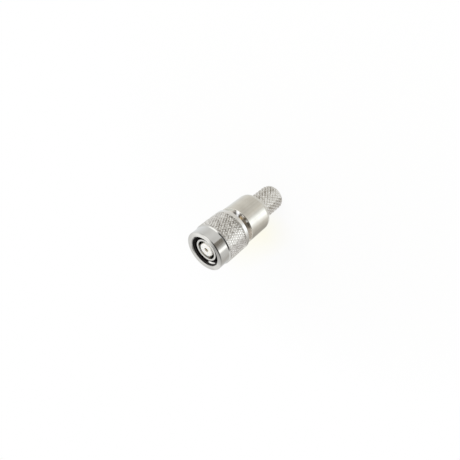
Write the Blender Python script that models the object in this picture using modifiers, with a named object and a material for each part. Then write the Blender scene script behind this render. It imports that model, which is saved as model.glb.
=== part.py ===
"""Reverse-polarity TNC cable plug for crimping, with its captive coupling nut.

The plug stands on its crimp neck, mating face up. +Z is its axis and the origin is the centre
of the neck's end. All sizes are in metres. Heights are counted up from that end.
"""

import math

import bmesh
import bpy

# Clearances
seat_gap = 0.0002
running_gap = 0.00015

# Dielectric nose and the outer contact sleeve round it
dielectric_diameter = 0.00475
dielectric_setback = 0.00095
dielectric_web = 0.0005
contact_gap = 0.000925
sleeve_wall = 0.00075
sleeve_setback = 0.00085
sleeve_foot = 0.0010
sleeve_edge = 0.00012
pin_entry_diameter = 0.0015

# Centre socket contact
socket_bore_diameter = 0.00138
socket_wall = 0.00036
socket_edge = 0.00012
socket_bore_depth = 0.0050
socket_slot_width = 0.00025
socket_slot_floor = 0.0005
shaft_diameter = 0.0030
shaft_length = 0.0062
shaft_below_insulator = 0.0022
wire_bore_diameter = 0.0028
wire_bore_depth = 0.0050
wire_wall = 0.00055
wire_barrel_length = 0.0056
sight_hole_diameter = 0.0008

# Retaining ring between the nut and the body
ring_thickness = 0.0008
ring_depth_in_nut = 0.0004
ring_depth_in_body = 0.0006
ring_split = 0.0016
nut_float = 0.0008

# Turned body: crimp neck, barrel and front spigot
neck_length = 0.01175
neck_wall = 0.00083
neck_edge = 0.0003
cable_bore_diameter = 0.0079
cable_bore_edge = 0.00015
cable_bore_reach = 0.00325
rear_insulator_thickness = 0.0016
barrel_length = 0.01015
barrel_shoulder = 0.00215
barrel_front_edge = 0.0002
barrel_rear_taper = 0.0009
barrel_rear_inset = 0.0002
barrel_rear_radius = 0.0002
exposed_neck = 0.0021
spigot_wall = 0.00065
spigot_land = 0.0020
sleeve_floor = 0.0005
web_air = 0.00095
web_length = 0.0050
insulator_ledge = 0.0005

# Coupling nut
nut_length = 0.0137
nut_wall = 0.00235
nut_collar_step = 0.0004
nut_collar_length = 0.0038
nut_collar_edge = 0.0004
nut_rear_band = 0.0015
nut_edge = 0.00025
nut_lip = 0.0012
nut_land = 0.0012
thread_over_spigot = 0.00025
thread_lead_in = 0.00045

# Coupling thread, 28 right-hand turns to the inch, with its flats as shares of the pitch
thread_pitch = 0.0254 / 28
thread_depth = 0.00045
thread_crest_flat = 0.25
thread_root_flat = 0.18
thread_undercut = 0.00005

# Gasket on the spigot's front shoulder
gasket_thickness = 0.0010
gasket_margin = 0.00015
gasket_edge = 0.00025

# Knurls: pitch round the piece, the grooves' angle to its axis in degrees, and their depth
nut_knurl_pitch = 0.0009
nut_knurl_angle = 29
nut_knurl_depth = 0.0003
neck_knurl_pitch = 0.00125
neck_knurl_angle = 36
neck_knurl_depth = 0.00042

# Facets round the turned pieces and their cutters, and the angle that is left a sharp corner
rows_per_thread = 4
fine_columns = 48
plain_columns = 32
contact_columns = 24
sight_hole_columns = 12
edge_steps = 3
corner_degrees = 28

# How far a cutter runs past the faces that it cuts through
cutter_reach = 0.0005

# Length of the arms of an empty, as it shows in the viewport
empty_arms = 0.004

# Radii worked out from the sizes above
dielectric_radius = dielectric_diameter / 2
sleeve_bore_radius = dielectric_radius + contact_gap
sleeve_radius = sleeve_bore_radius + sleeve_wall
sleeve_seat_radius = sleeve_radius + seat_gap
spigot_radius = sleeve_seat_radius + spigot_wall
lip_radius = spigot_radius + running_gap
thread_bore_radius = spigot_radius + thread_over_spigot
thread_relief = thread_depth + thread_undercut
nut_radius = thread_bore_radius + nut_wall
barrel_radius = spigot_radius + barrel_shoulder
cable_bore_radius = cable_bore_diameter / 2
neck_radius = cable_bore_radius + neck_wall
socket_radius = socket_bore_diameter / 2 + socket_wall
shaft_radius = shaft_diameter / 2
wire_bore_radius = wire_bore_diameter / 2
wire_barrel_radius = wire_bore_radius + wire_wall
web_radius = wire_barrel_radius + web_air
insulator_bore_radius = web_radius + insulator_ledge
ring_inner_radius = spigot_radius - ring_depth_in_body
ring_outer_radius = lip_radius + ring_depth_in_nut

# Heights worked out from the sizes above
barrel_front_z = neck_length + barrel_length
nut_rear_z = barrel_front_z + exposed_neck
nut_front_z = nut_rear_z + nut_length
ring_z = nut_rear_z + nut_lip + running_gap
body_groove_top_z = ring_z + ring_thickness + nut_float + running_gap
spigot_top_z = body_groove_top_z + spigot_land
sleeve_seat_z = body_groove_top_z + sleeve_floor
gasket_z = spigot_top_z + seat_gap
thread_low_z = gasket_z + gasket_thickness + nut_float + seat_gap
web_foot_z = neck_length + cable_bore_reach
web_top_z = web_foot_z + web_length
front_insulator_z = web_top_z + seat_gap
rear_insulator_z = web_foot_z - seat_gap - rear_insulator_thickness
dielectric_face_z = nut_front_z - dielectric_setback
socket_mouth_z = dielectric_face_z - dielectric_web - seat_gap
shaft_foot_z = web_top_z - shaft_below_insulator
shaft_top_z = shaft_foot_z + shaft_length
wire_barrel_z = shaft_foot_z - wire_barrel_length

PARTS = "tnc_connector"
CUTTERS = "cutters"


def clear_scene():
    """Remove every object, so that the model starts from an empty scene."""
    for obj in list(bpy.data.objects):
        bpy.data.objects.remove(obj, do_unlink=True)


def make_collection(name):
    """Make a collection and link it to the scene."""
    collection = bpy.data.collections.new(name)
    bpy.context.scene.collection.children.link(collection)
    return collection


def make_material(name, colour, roughness, metallic):
    """Make a Principled material with one colour, roughness and metallic value."""
    material = bpy.data.materials.new(name)
    material.use_nodes = True
    shader = material.node_tree.nodes["Principled BSDF"]
    shader.inputs["Base Color"].default_value = (*colour, 1.0)
    shader.inputs["Roughness"].default_value = roughness
    shader.inputs["Metallic"].default_value = metallic
    return material


def make_empty(name, height, collection, parent=None):
    """Place an empty on the axis, which its pieces are parented to."""
    empty = bpy.data.objects.new(name, None)
    empty.empty_display_size = empty_arms
    empty.location = (0, 0, height)
    empty.parent = parent
    collection.objects.link(empty)
    return empty


def arc(centre_r, centre_z, radius, start, end, steps):
    """Points of a profile's rounded corner, from one angle to another in degrees."""
    points = []
    for step in range(steps + 1):
        angle = math.radians(start + (end - start) * step / steps)
        points.append((centre_r + radius * math.cos(angle), centre_z + radius * math.sin(angle)))
    return points


def turned(name, outline, columns, material, collection, height=0.0, parent=None, closed=True):
    """Turn a profile of (radius, height) points, which runs down the outside and up the bore."""
    count = len(outline)
    edges = [(i, i + 1) for i in range(count - 1)]
    if closed:
        edges.append((count - 1, 0))
    mesh = bpy.data.meshes.new(name)
    mesh.from_pydata([(radius, 0, z) for radius, z in outline], edges, [])
    obj = bpy.data.objects.new(name, mesh)
    obj.location = (0, 0, height)
    obj.parent = parent
    collection.objects.link(obj)
    screw = obj.modifiers.new("Turn", "SCREW")
    screw.axis = "Z"
    screw.angle = 2 * math.pi
    screw.steps = columns
    screw.render_steps = columns
    screw.use_merge_vertices = True
    screw.merge_threshold = 0.000001
    obj.data.materials.append(material)
    return obj


def bake(obj):
    """Turn an object's modifiers into plain mesh, keeping its place."""
    bpy.context.view_layer.update()
    depsgraph = bpy.context.evaluated_depsgraph_get()
    mesh = bpy.data.meshes.new_from_object(obj.evaluated_get(depsgraph))
    obj.modifiers.clear()
    obj.data = mesh
    return mesh


def smooth(obj):
    """Shade a finished piece smooth, apart from its corners."""
    mesh = bake(obj)
    mesh.shade_smooth()
    mesh.set_sharp_from_angle(angle=math.radians(corner_degrees))


def teeth_round(radius, pitch):
    """How many knurl teeth go round a piece."""
    return max(12, round(2 * math.pi * radius / pitch))


def band_rows(low, high, pitch, angle):
    """Heights of a knurl's rows, half a diamond apart, from the top of the band to its foot."""
    row_height = pitch / 2 / math.tan(math.radians(angle))
    rows = max(2, round((high - low) / row_height))
    return [high - (high - low) * row / rows for row in range(rows + 1)]


def cut_knurl(obj, heights, crest, depth, columns):
    """Press a diamond knurl into a band, by lowering every other point of its grid."""
    root = crest - depth
    mesh = bake(obj)
    bm = bmesh.new()
    bm.from_mesh(mesh)
    crests = set()
    band = set()
    last_row = len(heights) - 1
    tolerance = depth / 4
    for vert in bm.verts:
        radius = math.hypot(vert.co.x, vert.co.y)
        if abs(radius - crest) > tolerance:
            continue
        row = min(range(last_row + 1), key=lambda i: abs(heights[i] - vert.co.z))
        if abs(heights[row] - vert.co.z) > tolerance:
            continue
        column = round(math.atan2(vert.co.y, vert.co.x) / (2 * math.pi) * columns) % columns
        band.add(vert)
        if 0 < row < last_row and (row + column) % 2 == 0:
            crests.add(vert)
        else:
            vert.co.x *= root / crest
            vert.co.y *= root / crest
    for face in list(bm.faces):
        corners = list(face.verts)
        if len(corners) != 4 or not all(corner in band for corner in corners):
            continue
        first = 0
        if corners[0] in crests or corners[2] in crests:
            first = 1
        bmesh.utils.face_split(face, corners[first], corners[first + 2])
    bm.to_mesh(mesh)
    bm.free()


def thread_heights(low, high):
    """Heights of a thread's rows, from the mouth down to its foot."""
    rows = max(2, round((high - low) / thread_pitch * rows_per_thread))
    return [high - (high - low) * row / rows for row in range(rows + 1)]


def press_thread(obj, low, high, crest):
    """Press a right-hand thread into the side of a bore's cutter, between two heights."""
    mesh = bake(obj)
    bm = bmesh.new()
    bm.from_mesh(mesh)
    tolerance = thread_undercut / 2
    flank_share = 1 - thread_crest_flat - thread_root_flat
    band = set()
    for vert in bm.verts:
        radius = math.hypot(vert.co.x, vert.co.y)
        if abs(radius - crest) > tolerance or not low - tolerance < vert.co.z < high + tolerance:
            continue
        turns = (vert.co.z - low) / thread_pitch - math.atan2(vert.co.y, vert.co.x) / (2 * math.pi)
        from_crest = 1 - abs(2 * (turns % 1) - 1)
        share = min(1, max(0, (from_crest - thread_crest_flat) / flank_share))
        vert.co.x *= 1 + share * thread_depth / crest
        vert.co.y *= 1 + share * thread_depth / crest
        band.add(vert)
    faces = [face for face in bm.faces if all(vert in band for vert in face.verts)]
    bmesh.ops.triangulate(bm, faces=faces, quad_method="SHORT_EDGE")
    bm.to_mesh(mesh)
    bm.free()


def cutter_box(name, size, location, collection):
    """A wire box that cuts a slot."""
    bpy.ops.mesh.primitive_cube_add(size=1, location=location)
    obj = bpy.context.object
    obj.scale = size
    return as_cutter(obj, name, collection)


def cutter_cylinder(name, radius, depth, location, rotation, sides, collection):
    """A wire cylinder or prism that cuts a hole or flats."""
    bpy.ops.mesh.primitive_cylinder_add(
        vertices=sides, radius=radius, depth=depth, location=location, rotation=rotation
    )
    return as_cutter(bpy.context.object, name, collection)


def as_cutter(obj, name, collection):
    """Name a cutter, apply its scale and move it to the cutters' collection."""
    obj.name = name
    bpy.ops.object.transform_apply(location=False, rotation=False, scale=True)
    obj.display_type = "WIRE"
    obj.hide_render = True
    for owner in list(obj.users_collection):
        owner.objects.unlink(obj)
    collection.objects.link(obj)
    return obj


def cut(obj, cutter):
    """Take a cutter's shape out of an object."""
    boolean = obj.modifiers.new(cutter.name, "BOOLEAN")
    boolean.operation = "DIFFERENCE"
    boolean.solver = "EXACT"
    boolean.object = cutter


def make_nut(material, parts, cutters, parent):
    """Coupling nut: plain front collar, knurl, rear band, ring groove and thread."""
    outer = nut_radius
    collar = nut_radius - nut_collar_step
    collar_edge = nut_collar_edge
    bore = thread_bore_radius
    relief = bore + thread_relief
    lip = lip_radius
    groove = ring_outer_radius + running_gap
    groove_low = nut_lip
    groove_high = groove_low + ring_thickness + 2 * running_gap
    collar_low = nut_length - nut_collar_length
    shoulder = collar_low - nut_collar_step
    thread_low = thread_low_z - nut_rear_z
    relief_low = groove_high + nut_land
    columns = 2 * teeth_round(nut_radius, nut_knurl_pitch)
    heights = band_rows(nut_rear_band, shoulder - nut_knurl_depth, nut_knurl_pitch, nut_knurl_angle)
    thread_foot = thread_low + thread_relief
    thread_top = nut_length - thread_lead_in

    outline = [(0, nut_length)]
    outline += arc(collar - collar_edge, nut_length - collar_edge, collar_edge, 90, 0, edge_steps)
    outline += [(collar, collar_low), (outer, shoulder)]
    outline += [(outer, z) for z in heights]
    outline += [(outer, nut_rear_band - nut_knurl_depth)]
    outline += [(outer, nut_edge), (outer - nut_edge, 0), (0, 0)]

    nut = turned("coupling_nut", outline, columns, material, parts, parent=parent, closed=False)
    cut_knurl(nut, heights, outer, nut_knurl_depth, columns)

    mouth = nut_length + cutter_reach
    bore_outline = [(0, mouth), (bore + thread_lead_in + cutter_reach, mouth)]
    bore_outline += [(bore, z) for z in thread_heights(thread_foot, thread_top)]
    bore_outline += [(relief, thread_low), (relief, relief_low), (lip, relief_low)]
    bore_outline += [(lip, groove_high), (groove, groove_high), (groove, groove_low), (lip, groove_low)]
    bore_outline += [(lip, seat_gap), (lip + seat_gap + cutter_reach, -cutter_reach), (0, -cutter_reach)]
    hollow = turned(
        "bore_cutter", bore_outline, fine_columns, material, cutters, parent=parent, closed=False
    )
    hollow.display_type = "WIRE"
    hollow.hide_render = True
    press_thread(hollow, thread_foot, thread_top, bore)

    cut(nut, hollow)
    smooth(nut)
    return nut


def make_ring(material, parts, cutters, parent):
    """Split retaining ring, half in the nut's groove and half in the body's."""
    inner = ring_inner_radius
    outer = ring_outer_radius
    outline = [(outer, ring_thickness), (outer, 0), (inner, 0), (inner, ring_thickness)]
    ring = turned(
        "retaining_ring", outline, plain_columns, material, parts, height=ring_z - nut_rear_z, parent=parent
    )
    reach = (inner + outer) / 2
    split = cutter_box(
        "ring_split_cutter", (ring_split, 2 * (outer - inner), 3 * ring_thickness),
        (0, -reach, ring_z + ring_thickness / 2), cutters
    )
    cut(ring, split)
    smooth(ring)
    return ring


def make_body(material, parts, parent):
    """Body: knurled crimp neck, smooth barrel and the spigot that carries the nut's ring."""
    neck = neck_radius
    barrel = barrel_radius
    spigot = spigot_radius
    cable_bore = cable_bore_radius
    groove = ring_inner_radius - running_gap
    groove_low = ring_z - running_gap
    groove_high = body_groove_top_z
    columns = 2 * teeth_round(neck_radius, neck_knurl_pitch)
    heights = band_rows(neck_edge, neck_length - neck_edge, neck_knurl_pitch, neck_knurl_angle)

    outline = [(spigot - neck_edge, spigot_top_z), (spigot, spigot_top_z - neck_edge)]
    outline += [(spigot, groove_high), (groove, groove_high), (groove, groove_low), (spigot, groove_low)]
    outline += [(spigot, barrel_front_z), (barrel - barrel_front_edge, barrel_front_z)]
    outline += [(barrel, barrel_front_z - barrel_front_edge)]
    outline += [(barrel, neck_length + barrel_rear_radius + barrel_rear_taper)]
    outline += arc(
        barrel - barrel_rear_inset - barrel_rear_radius, neck_length + barrel_rear_radius,
        barrel_rear_radius, 0, -90, edge_steps
    )
    outline += [(neck - neck_knurl_depth, neck_length)]
    outline += [(neck, z) for z in heights]
    outline += [(neck - neck_edge, 0), (cable_bore + cable_bore_edge, 0), (cable_bore, cable_bore_edge)]
    outline += [(cable_bore, web_foot_z), (web_radius, web_foot_z), (web_radius, web_top_z)]
    outline += [(insulator_bore_radius, web_top_z), (insulator_bore_radius, sleeve_seat_z)]
    outline += [(sleeve_seat_radius, sleeve_seat_z), (sleeve_seat_radius, spigot_top_z)]

    body = turned("connector_body", outline, columns, material, parts, parent=parent)
    cut_knurl(body, heights, neck, neck_knurl_depth, columns)
    smooth(body)
    return body


def make_sleeve(material, parts, parent):
    """Outer contact: thin sleeve, whose foot is pressed into the spigot and holds the dielectric."""
    outer = sleeve_radius
    inner = sleeve_bore_radius
    foot_bore = dielectric_radius + seat_gap
    base = sleeve_seat_z + seat_gap
    top = nut_front_z - sleeve_setback - base
    outline = [(outer - sleeve_edge, top), (outer, top - sleeve_edge), (outer, 0), (foot_bore, 0)]
    outline += [(foot_bore, sleeve_foot), (inner, sleeve_foot)]
    outline += [(inner, top - sleeve_edge), (inner + sleeve_edge, top)]
    sleeve = turned("outer_contact", outline, fine_columns, material, parts, height=base, parent=parent)
    smooth(sleeve)
    return sleeve


def make_front_insulator(material, parts, parent):
    """Dielectric: a wide base in the body's bore and a long nose inside the sleeve."""
    base_radius = insulator_bore_radius - seat_gap
    nose = dielectric_radius
    shoulder = sleeve_seat_z - front_insulator_z
    face = dielectric_face_z - front_insulator_z
    shaft_bore = shaft_radius + seat_gap
    socket_bore = socket_radius + seat_gap
    shaft_bore_top = shaft_top_z + seat_gap - front_insulator_z
    entry = pin_entry_diameter / 2
    edge = sleeve_edge
    outline = [(nose - edge, face), (nose, face - edge), (nose, shoulder), (base_radius, shoulder)]
    outline += [(base_radius, 0), (shaft_bore, 0), (shaft_bore, shaft_bore_top)]
    outline += [(socket_bore, shaft_bore_top), (socket_bore, face - dielectric_web)]
    outline += [(entry, face - dielectric_web), (entry, face - edge), (entry + edge, face)]
    insulator = turned(
        "front_insulator", outline, plain_columns, material, parts, height=front_insulator_z, parent=parent
    )
    smooth(insulator)
    return insulator


def make_rear_insulator(material, parts, parent):
    """Bead that centres the contact at the end of the cable bore."""
    outer = cable_bore_radius - seat_gap
    inner = wire_barrel_radius + seat_gap
    edge = sleeve_edge
    top = rear_insulator_thickness
    outline = [(outer - edge, top), (outer, top - edge), (outer, edge), (outer - edge, 0)]
    outline += [(inner, 0), (inner, top)]
    insulator = turned(
        "rear_insulator", outline, plain_columns, material, parts, height=rear_insulator_z, parent=parent
    )
    smooth(insulator)
    return insulator


def make_contact(material, parts, cutters, parent):
    """Centre contact: wire barrel with a sight hole, shaft, and a socket slit into four tines."""
    barrel = wire_barrel_radius
    wire_bore = wire_bore_radius
    shaft = shaft_radius
    socket = socket_radius
    bore = socket_radius - socket_wall
    mouth = socket_mouth_z - wire_barrel_z
    shaft_low = shaft_foot_z - wire_barrel_z
    shaft_high = shaft_top_z - wire_barrel_z
    edge = socket_edge
    outline = [(0, mouth - socket_bore_depth), (bore, mouth - socket_bore_depth)]
    outline += [(bore, mouth - edge), (bore + edge, mouth), (socket - edge, mouth), (socket, mouth - edge)]
    outline += [(socket, shaft_high), (shaft, shaft_high), (shaft, shaft_low), (barrel, shaft_low)]
    outline += [(barrel, 0), (wire_bore, 0), (wire_bore, wire_bore_depth), (0, wire_bore_depth)]
    contact = turned(
        "centre_contact", outline, contact_columns, material, parts,
        height=wire_barrel_z, parent=parent, closed=False
    )
    slot_length = socket_bore_depth - socket_slot_floor
    slot_middle = socket_mouth_z - slot_length / 2 + socket_slot_width / 2
    slot_height = slot_length + socket_slot_width
    for name, size in (
        ("slot_cutter_x", (4 * socket, socket_slot_width, slot_height)),
        ("slot_cutter_y", (socket_slot_width, 4 * socket, slot_height)),
    ):
        cut(contact, cutter_box(name, size, (0, 0, slot_middle), cutters))
    sight = cutter_cylinder(
        "sight_hole_cutter", sight_hole_diameter / 2, 2 * barrel,
        (barrel, 0, wire_barrel_z + wire_bore_depth - sight_hole_diameter),
        (0, math.pi / 2, 0), sight_hole_columns, cutters
    )
    cut(contact, sight)
    smooth(contact)
    return contact


def make_gasket(material, parts, parent):
    """Seal round the sleeve, on the spigot's front shoulder."""
    outer = thread_bore_radius - gasket_margin
    inner = sleeve_radius + seat_gap
    edge = gasket_edge
    top = gasket_thickness
    outline = [(outer - edge, top), (outer, top - edge), (outer, edge), (outer - edge, 0)]
    outline += [(inner, 0), (inner, top)]
    gasket = turned(
        "gasket", outline, plain_columns, material, parts, height=gasket_z, parent=parent
    )
    smooth(gasket)
    return gasket


def main():
    """Build the plug."""
    clear_scene()
    parts = make_collection(PARTS)
    cutters = make_collection(CUTTERS)

    nickel = make_material("bright_nickel", (0.72, 0.71, 0.67), 0.20, 1.0)
    knurled_nickel = make_material("knurled_nickel", (0.70, 0.69, 0.66), 0.28, 1.0)
    ring_brass = make_material("spring_brass", (0.72, 0.55, 0.30), 0.30, 1.0)
    ptfe = make_material("white_ptfe", (0.93, 0.92, 0.88), 0.45, 0.0)
    gold = make_material("gold_plate", (0.86, 0.66, 0.30), 0.22, 1.0)
    silicone = make_material("silicone", (0.62, 0.20, 0.13), 0.60, 0.0)

    plug = make_empty("plug_axis", 0.0, parts)
    nut_axis = make_empty("nut_axis", nut_rear_z, parts, parent=plug)

    make_body(nickel, parts, plug)
    make_sleeve(nickel, parts, plug)
    make_front_insulator(ptfe, parts, plug)
    make_rear_insulator(ptfe, parts, plug)
    make_contact(gold, parts, cutters, plug)
    make_gasket(silicone, parts, plug)
    make_ring(ring_brass, parts, cutters, nut_axis)
    make_nut(knurled_nickel, parts, cutters, nut_axis)


main()
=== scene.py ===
"""Looks of a reverse-polarity coaxial cable plug, laid out as a Blender add-on.

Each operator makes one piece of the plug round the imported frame, and one makes the stage. All
sizes are in metres. The plug stands on its crimp neck: +Z is its axis, and heights are counted
from the neck's end.
"""

import math

import bmesh
import bpy
import numpy as np
from bpy.props import FloatProperty, FloatVectorProperty, IntProperty, PointerProperty
from mathutils import Matrix, Vector


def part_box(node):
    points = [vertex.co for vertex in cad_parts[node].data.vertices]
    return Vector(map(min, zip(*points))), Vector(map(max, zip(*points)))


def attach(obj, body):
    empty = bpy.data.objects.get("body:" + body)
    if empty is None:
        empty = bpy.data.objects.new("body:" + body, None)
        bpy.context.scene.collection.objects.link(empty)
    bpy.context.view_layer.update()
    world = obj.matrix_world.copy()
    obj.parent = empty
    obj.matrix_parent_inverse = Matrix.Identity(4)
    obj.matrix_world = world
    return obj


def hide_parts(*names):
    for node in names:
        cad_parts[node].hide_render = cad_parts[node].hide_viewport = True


bl_info = {
    "name": "Coaxial plug looks",
    "version": (1, 0, 0),
    "blender": (4, 5, 0),
    "location": "View3D > Sidebar > Plug",
    "description": "Knurls, threads and finishes of a crimped coaxial plug, with its stage",
    "category": "Object",
}

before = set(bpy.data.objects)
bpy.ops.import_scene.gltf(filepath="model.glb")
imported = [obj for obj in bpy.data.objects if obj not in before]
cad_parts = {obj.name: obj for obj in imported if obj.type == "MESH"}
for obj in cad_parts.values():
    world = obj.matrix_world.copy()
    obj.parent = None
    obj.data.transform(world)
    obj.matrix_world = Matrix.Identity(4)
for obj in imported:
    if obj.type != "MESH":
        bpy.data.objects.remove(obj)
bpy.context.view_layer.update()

NUT_LOW, NUT_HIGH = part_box("coupling_nut")
BODY_LOW, BODY_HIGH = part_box("connector_body")
SLEEVE_LOW, SLEEVE_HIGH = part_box("outer_contact")
NOSE_LOW, NOSE_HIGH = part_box("front_insulator")
BEAD_LOW, BEAD_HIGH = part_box("rear_insulator")
CONTACT_LOW, CONTACT_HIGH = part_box("centre_contact")
RING_LOW, RING_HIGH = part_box("retaining_ring")
GASKET_LOW, GASKET_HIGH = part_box("gasket")

TURN = 2 * math.pi
WELD = 1e-8
SHARP_CORNER = math.radians(32)
KNURL_LAND = 0.30
CREST_FLAT = 0.25
ROOT_FLAT = 0.18
THREAD_ROWS_PER_TURN = 12
COLUMNS_FINE = 192
COLUMNS_MIDDLE = 144
COLUMNS_COARSE = 72
WHITE = (1.0, 1.0, 1.0, 1.0)
PAPER = (0.9, 0.9, 0.88, 1.0)
# Painted warm glow of reflected light, on the floor beside the plug.
PAINTED_GLOW_CREAM = (1.0, 0.98, 0.86, 1.0)
GAP_SPLIT = 0.0012
GAP_BLEND = 0.0003
CARD_LIFT = 0.0001
CARD_FOOT = 0.014
CARD_FOOT_BLEND = 0.004
CARD_SPLIT = 0.0585
CARD_BLEND = 0.001
CARD_LIGHT = 1.5
TENT_LIGHT = 1.3
TENT_BASE = (0.52, 0.60)
TENT_WINDOWS = (0.55, 0.65, 0.80, 0.90)
# Where the floor's painted warm glow lies, along and across the plug.
PAINTED_GLOW_ALONG = (-0.060, -0.020, -0.018, -0.002)
PAINTED_GLOW_ACROSS = (-0.020, -0.009, -0.004, 0.004)
FLOOR_FADE = (0.04, 0.10)
FLOOR_CORNERS = 128


def length(name, description, default):
    """A property for a length, in metres."""
    return FloatProperty(name=name, description=description, default=default, unit="LENGTH")


def angle(name, description, degrees):
    """A property for an angle, given in degrees."""
    return FloatProperty(name=name, description=description, default=math.radians(degrees), subtype="ANGLE")


def finish(name, description, default):
    """A property for a finish's colour."""
    return FloatVectorProperty(name=name, description=description, default=default, subtype="COLOR")


def count(name, description, default):
    """A property for a whole number."""
    return IntProperty(name=name, description=description, default=default)


def number(name, description, default):
    """A property for a plain number."""
    return FloatProperty(name=name, description=description, default=default)


class NutSizes(bpy.types.PropertyGroup):
    """Sizes of the coupling nut, with heights counted from its rear face."""

    radius: length("Radius", "Radius over the knurl", NUT_HIGH.y)
    length: length("Length", "Length of the nut", NUT_HIGH.z - NUT_LOW.z)
    collar_radius: length("Collar radius", "Radius of the plain front collar", 0.0071)
    collar_length: length("Collar length", "Length of the plain front collar", 0.0038)
    edge: length("Edge", "Rounding of the front and rear edges", 0.00025)
    rear_band: length("Rear band", "Width of the plain band", 0.0015)
    teeth: count("Teeth", "Knurl teeth round the nut", 52)
    tooth_columns: count("Columns per tooth", "Mesh columns to each tooth, an even number", 6)
    knurl_angle: angle("Knurl angle", "Angle of the grooves to the axis", 29)
    knurl_depth: length("Knurl depth", "Depth of the grooves", 0.0003)
    lip_radius: length("Lip radius", "Radius of the rear lip's bore", 0.00505)
    lip: length("Lip", "Length of the rear lip", 0.0012)
    groove_radius: length("Groove radius", "Radius of the ring's groove", 0.0056)
    groove_width: length("Groove width", "Width of the ring's groove", 0.0011)
    relief_low: length("Relief foot", "Height of the thread relief's foot", 0.0035)
    relief_radius: length("Relief radius", "Radius of the thread relief", 0.00565)
    thread_low: length("Thread foot", "Height of the lowest thread", 0.0073)
    thread_radius: length("Thread radius", "Radius of the bore at the crests", 0.00515)
    thread_depth: length("Thread depth", "Depth of the thread", 0.00045)
    thread_pitch: length("Thread pitch", "28 turns to the inch", 0.0254 / 28)
    lead_in: length("Lead-in", "Chamfer at the mouth", 0.00045)


class BodySizes(bpy.types.PropertyGroup):
    """Sizes of the turned body, from the crimp neck to the spigot that carries the nut."""

    neck_radius: length("Neck radius", "Radius over the neck's knurl", 0.00478)
    neck_length: length("Neck length", "Length of the crimp neck", 0.01175)
    neck_edge: length("Neck edge", "Chamfer of the neck's end", 0.0003)
    teeth: count("Teeth", "Knurl teeth round the neck", 24)
    tooth_columns: count("Columns per tooth", "Mesh columns to each tooth, an even number", 12)
    knurl_angle: angle("Knurl angle", "Angle of the grooves to the axis", 36)
    knurl_depth: length("Knurl depth", "Depth of the grooves", 0.00042)
    cable_bore: length("Cable bore", "Radius of the cable bore", 0.00395)
    barrel_radius: length("Barrel radius", "Radius of the barrel", BODY_HIGH.x)
    barrel_length: length("Barrel length", "Length of the barrel", 0.01015)
    barrel_front_edge: length("Front edge", "Chamfer of the barrel's front", 0.0002)
    barrel_taper: length("Rear taper", "Length of the barrel's rear taper", 0.0009)
    barrel_inset: length("Taper inset", "Depth of the barrel's rear taper", 0.0002)
    barrel_rear_radius: length("Rear radius", "Rounding of the barrel's rear", 0.0002)
    spigot_radius: length("Spigot radius", "Radius of the spigot", 0.0049)
    groove_radius: length("Groove radius", "Radius of the ring's groove", 0.00415)
    groove_low: length("Groove foot", "Height of the ring's groove", 0.0252)
    groove_high: length("Groove top", "Height of the groove's top", 0.0271)
    seat_radius: length("Sleeve seat", "Radius of the sleeve's seat", 0.00425)
    seat_low: length("Seat foot", "Height of the sleeve's seat", 0.0276)
    insulator_bore: length("Insulator bore", "Radius of the insulator's bore", 0.0034)
    web_radius: length("Web radius", "Radius of the web's hole", 0.0029)
    web_low: length("Web foot", "Height of the web's foot", 0.0150)
    web_high: length("Web top", "Height of the web's top", 0.0200)


class InnerSizes(bpy.types.PropertyGroup):
    """Sizes of the sleeve, the insulators, the contact, the ring and the gasket."""

    sleeve_bore: length("Sleeve bore", "Inner radius of the sleeve", 0.0033)
    sleeve_foot: length("Sleeve foot", "Thickness of the sleeve's foot", 0.0010)
    sleeve_edge: length("Sleeve edge", "Rounding of the sleeve's lip", 0.00018)
    nose_radius: length("Nose radius", "Radius of the dielectric's nose", 0.002375)
    nose_shoulder: length("Nose shoulder", "Height of the wide base's top", 0.0276)
    nose_web: length("Nose web", "Thickness in front of the socket", 0.0005)
    pin_entry: length("Pin entry", "Radius of the hole for the pin", 0.00075)
    insulator_edge: length("Insulator edge", "Rounding of the insulators", 0.00015)
    seat_gap: length("Seat gap", "Clearance between pieces that seat", 0.0002)
    socket_radius: length("Socket radius", "Radius of the slit socket", 0.00105)
    socket_bore: length("Socket bore", "Radius of the socket's bore", 0.00069)
    socket_depth: length("Socket depth", "Depth of the socket", 0.0050)
    slot_width: length("Slot width", "Width of the socket's slots", 0.00025)
    slot_length: length("Slot length", "Length of the socket's slots", 0.0045)
    shaft_radius: length("Shaft radius", "Radius of the contact's shaft", 0.0015)
    shaft_low: length("Shaft foot", "Height of the shaft's foot", 0.0178)
    shaft_high: length("Shaft top", "Height of the shaft's top", 0.0240)
    wire_bore: length("Wire bore", "Radius of the wire's bore", 0.0014)
    wire_depth: length("Wire depth", "Depth of the wire's bore", 0.0050)
    sight_hole: length("Sight hole", "Radius of the solder hole", 0.0004)
    ring_bore: length("Ring bore", "Inner radius of the retaining ring", 0.0043)
    ring_split: length("Ring split", "Gap of the retaining ring", 0.0016)
    contact_edge: length("Contact edge", "Rounding of the contact's edges", 0.0001)


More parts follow.
